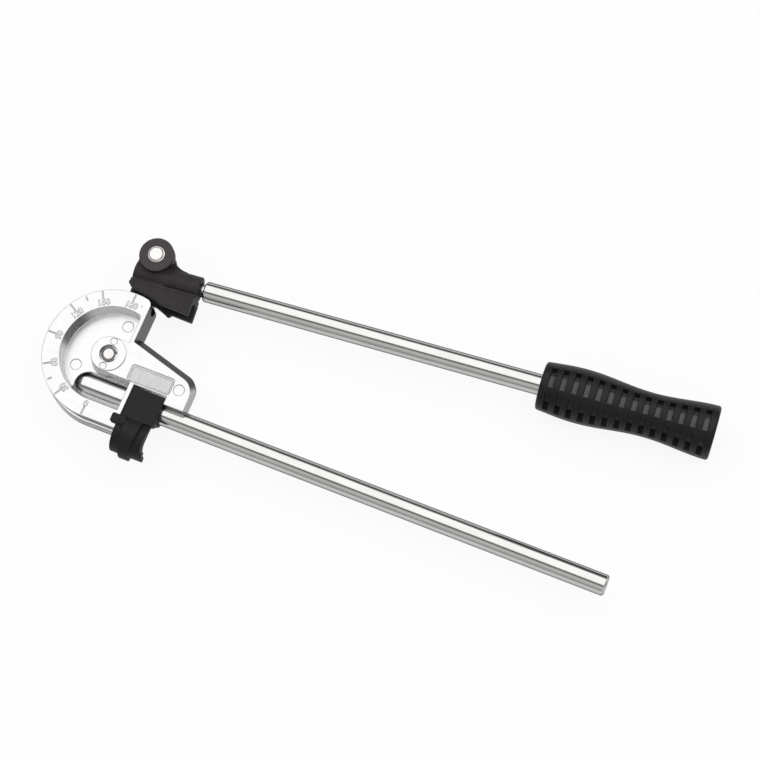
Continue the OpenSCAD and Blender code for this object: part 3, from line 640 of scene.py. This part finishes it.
def slotted_grip():
    """Swelling sleeve, rounded at both ends, less the depth of its slots; with its points comes
    the gloss of each, which is 0 outside the slots.

    A slot is a rectangle of the distance t along the grip and the angle round it. Across each of
    its four edges the depth follows one steep wall with a small lip and a small fillet, and a
    corner takes the lesser depth."""
    steps = np.concatenate([[-3.93, -2.9], -WALL_ALONG[::-1], [0], WALL_ALONG, [2.9]])
    body = (SLOT_END + SLOT_PITCH * np.arange(SLOT_COUNT)[:, None] + steps).ravel()
    body = body[(body > GRIP_ROUND) & (body < GRIP_LEN - GRIP_ROUND)]
    profile = np.vstack([
        GRIP_MOUTH,
        rounded_end(GRIP_ROUND, -90, -8),
        np.stack([swell(body), body], axis=1),
        rounded_end(GRIP_LEN - GRIP_ROUND, 8, 90),
        GRIP_CAP,
    ])
    turns = np.concatenate([-WALL_ROUND[::-1], np.arange(-16, 17, 8), WALL_ROUND])
    half = np.concatenate([turns - ROW_OFF, [0], turns + ROW_OFF, np.arange(64, 121, 8)])
    angle = (RIB_TURN + np.array([[0], [180]]) + half).ravel()

    radius, t = profile.T[:, :, None]
    from_slot = np.abs((t - SLOT_END + SLOT_PITCH / 2) % SLOT_PITCH - SLOT_PITCH / 2)
    slotted = (t > SLOT_END - 3) & (t < GRIP_LEN - SLOT_END + 3)
    along = np.where(slotted, from_slot, SLOT_PITCH)
    around = np.abs(np.abs((angle - RIB_TURN + 90) % 180 - 90) - ROW_OFF)
    inside = np.minimum(np.interp(along, WALL_ALONG, WALL_SHARE),
                        np.interp(around, WALL_ROUND, WALL_SHARE))
    # Painted shade: the lower row on each side takes less gloss, and so a darker colour, than the
    # upper.
    gloss = inside * np.where((angle - RIB_TURN) % 180 < 90, UPPER_GLOSS, LOWER_GLOSS_AND_PAINTED_SHADE)

    turn = np.radians(angle)[:, None]
    ring = np.sin(turn) * LEVER_ACROSS + np.cos(turn) * np.array([0, 0, 1])
    centre = LEVER_START + (GRIP_START + t)[..., None] / 1000 * LEVER_ALONG
    return centre + ((radius - SLOT_DEPTH * inside) / 1000)[..., None] * ring, gloss


grip_points, slot_gloss = slotted_grip()
grip = skin("slotted_grip", grip_points[:, ::-1])
gloss_mark = grip.data.attributes.new("slot_gloss", "FLOAT", "POINT")
gloss_mark.data.foreach_set("value", np.ascontiguousarray(slot_gloss[:, ::-1], np.float32).ravel())

RIB_DARK = (0.0030, 0.0019, 0.0023, 1)
RIB_DULL = (0.0046, 0.0031, 0.0036, 1)
SLOT_BLACK = (0.0085, 0.0080, 0.0085, 1)


def black_rubber():
    """Matt rubber with a fine grain, dull on the ribs and still glossy from the mould in slots. The
    slots take a paler black than the ribs, and the lower row on each side gets half the slots'
    gloss, so a weaker coat and a colour nearer the ribs' black: painted shade.
    """
    material, shader, place = new_finish("black_rubber", Specular_IOR_Level=0.28,
                                         Coat_Roughness=0.3)
    grain = place.grain(2200, 3.0)
    cloud = place.grain(90, 3.0)
    sunk = place.node("Attribute", {"attribute_name": "slot_gloss"}, {}, "Fac")
    rib = cloud.fade(0.3, 0.7).blend(RIB_DARK, RIB_DULL)
    sunk.blend(rib, SLOT_BLACK).into(shader, "Base Color")
    (0.43 + 0.08 * grain).into(shader, "Roughness")
    (sunk * sunk).into(shader, "Coat Weight")
    grain.relief(shader, 0.3, 0.00004)
    return material


dress(grip, black_rubber())
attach(grip, "lever")
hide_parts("grip")

# Studio: the tool lies on its back on a white paper floor, under one wide soft
# light that leans to the lever's side, in a dim room. What looks at the floor
# straight or in a mirror sees it almost pure white, with a faint shadow.

FLOOR_Z = cad_box[0][2] - 0.0001
FLOOR_HALF = 6
FLOOR_SHOWN = 0.9  # how far the paper shows as plain white
PANEL = (1.72, 1.72, 1.72, 1)
# Brightness of the room round the tool's length, by share of a turn from straight below
ROOM = [(0.25, 0.45), (0.294, 0.50), (0.333, 0.72), (0.369, 0.87), (0.40, 0.62), (0.418, 0.25),
        (0.431, 0.15), (0.46, 0.18), (0.64, 0.30), (0.69, 0.13), (0.80, 0.11), (1.0, 0.3)]

floor_mesh = bpy.data.meshes.new("paper_floor")
floor_mesh.from_pydata([(FLOOR_HALF * x, FLOOR_HALF * y, FLOOR_Z)
                        for x, y in ((-1, -1), (1, -1), (1, 1), (-1, 1))], [], [(0, 1, 2, 3)])
paper_floor = bpy.data.objects.new("paper_floor", floor_mesh)
bpy.context.collection.objects.link(paper_floor)
paper, paper_shader, paper_place = new_finish("white_paper", Roughness=0.9, Specular_IOR_Level=0.0)
fibre = paper_place.grain(600, 3.0)
fibre.blend((0.90, 0.90, 0.90, 1), (0.92, 0.92, 0.92, 1)).into(paper_shader, "Base Color")
looked_at = sum(paper_place.node("LightPath", {}, {}, "Is %s Ray" % kind)
                for kind in ("Camera", "Glossy", "Transmission"))
glow = paper_place.node("Emission", {}, {"Color": (1, 1, 1, 1), "Strength": 1.0})
lit = Wire(paper.node_tree, paper_shader.outputs[0])
seen = paper_place.node("MixShader", {}, {0: FLOOR_SHOWN * looked_at, 1: lit, 2: glow})
seen.into(paper.node_tree.nodes["Material Output"], "Surface")
dress(paper_floor, paper)

world = bpy.data.worlds.new("studio")
world.use_nodes = True
bpy.context.scene.world = world
sky = Wire(world.node_tree).node("TexCoord", {}, {}, "Generated")
lean = sky.math("ARCTAN2", sky.axis(1), sky.axis(2))
panel = (lean.fade(radians(-19), radians(-11)) * lean.fade(radians(66), radians(54))
         * sky.axis(0).fade(-0.80, -0.70) * sky.axis(0).fade(0.72, 0.62))
room = sky.node("ValToRGB", {"stops": ROOM}, {0: lean * (0.5 / np.pi) + 0.5})
panel.blend(room, PANEL).into(world.node_tree.nodes["Background"], "Color")

# Camera: at the photograph's viewing angle, above the tool and towards the
# free ends of its bars.

CAMERA_AT = Vector((0.1784, -0.0141, 1.331))  # in the camera's own axes
TILT, ROLL, SPIN = radians(-17.0), radians(-3.75), radians(-22.33)
SENSOR_MM = 36
FOCAL_PIXELS = 2000
PICTURE_PIXELS = 760

tilted = Matrix.Rotation(TILT, 3, "X") @ Matrix.Rotation(ROLL, 3, "Y")
aim = (tilted @ Matrix.Rotation(SPIN, 3, "Z")).transposed()
lens = bpy.data.cameras.new("camera")
lens.sensor_width = SENSOR_MM
lens.lens = SENSOR_MM * FOCAL_PIXELS / PICTURE_PIXELS
camera = bpy.data.objects.new("camera", lens)
camera.matrix_world = Matrix.LocRotScale(aim @ CAMERA_AT, aim, None)
bpy.context.collection.objects.link(camera)
bpy.context.scene.camera = camera
bpy.context.scene.view_settings.view_transform = "Standard"
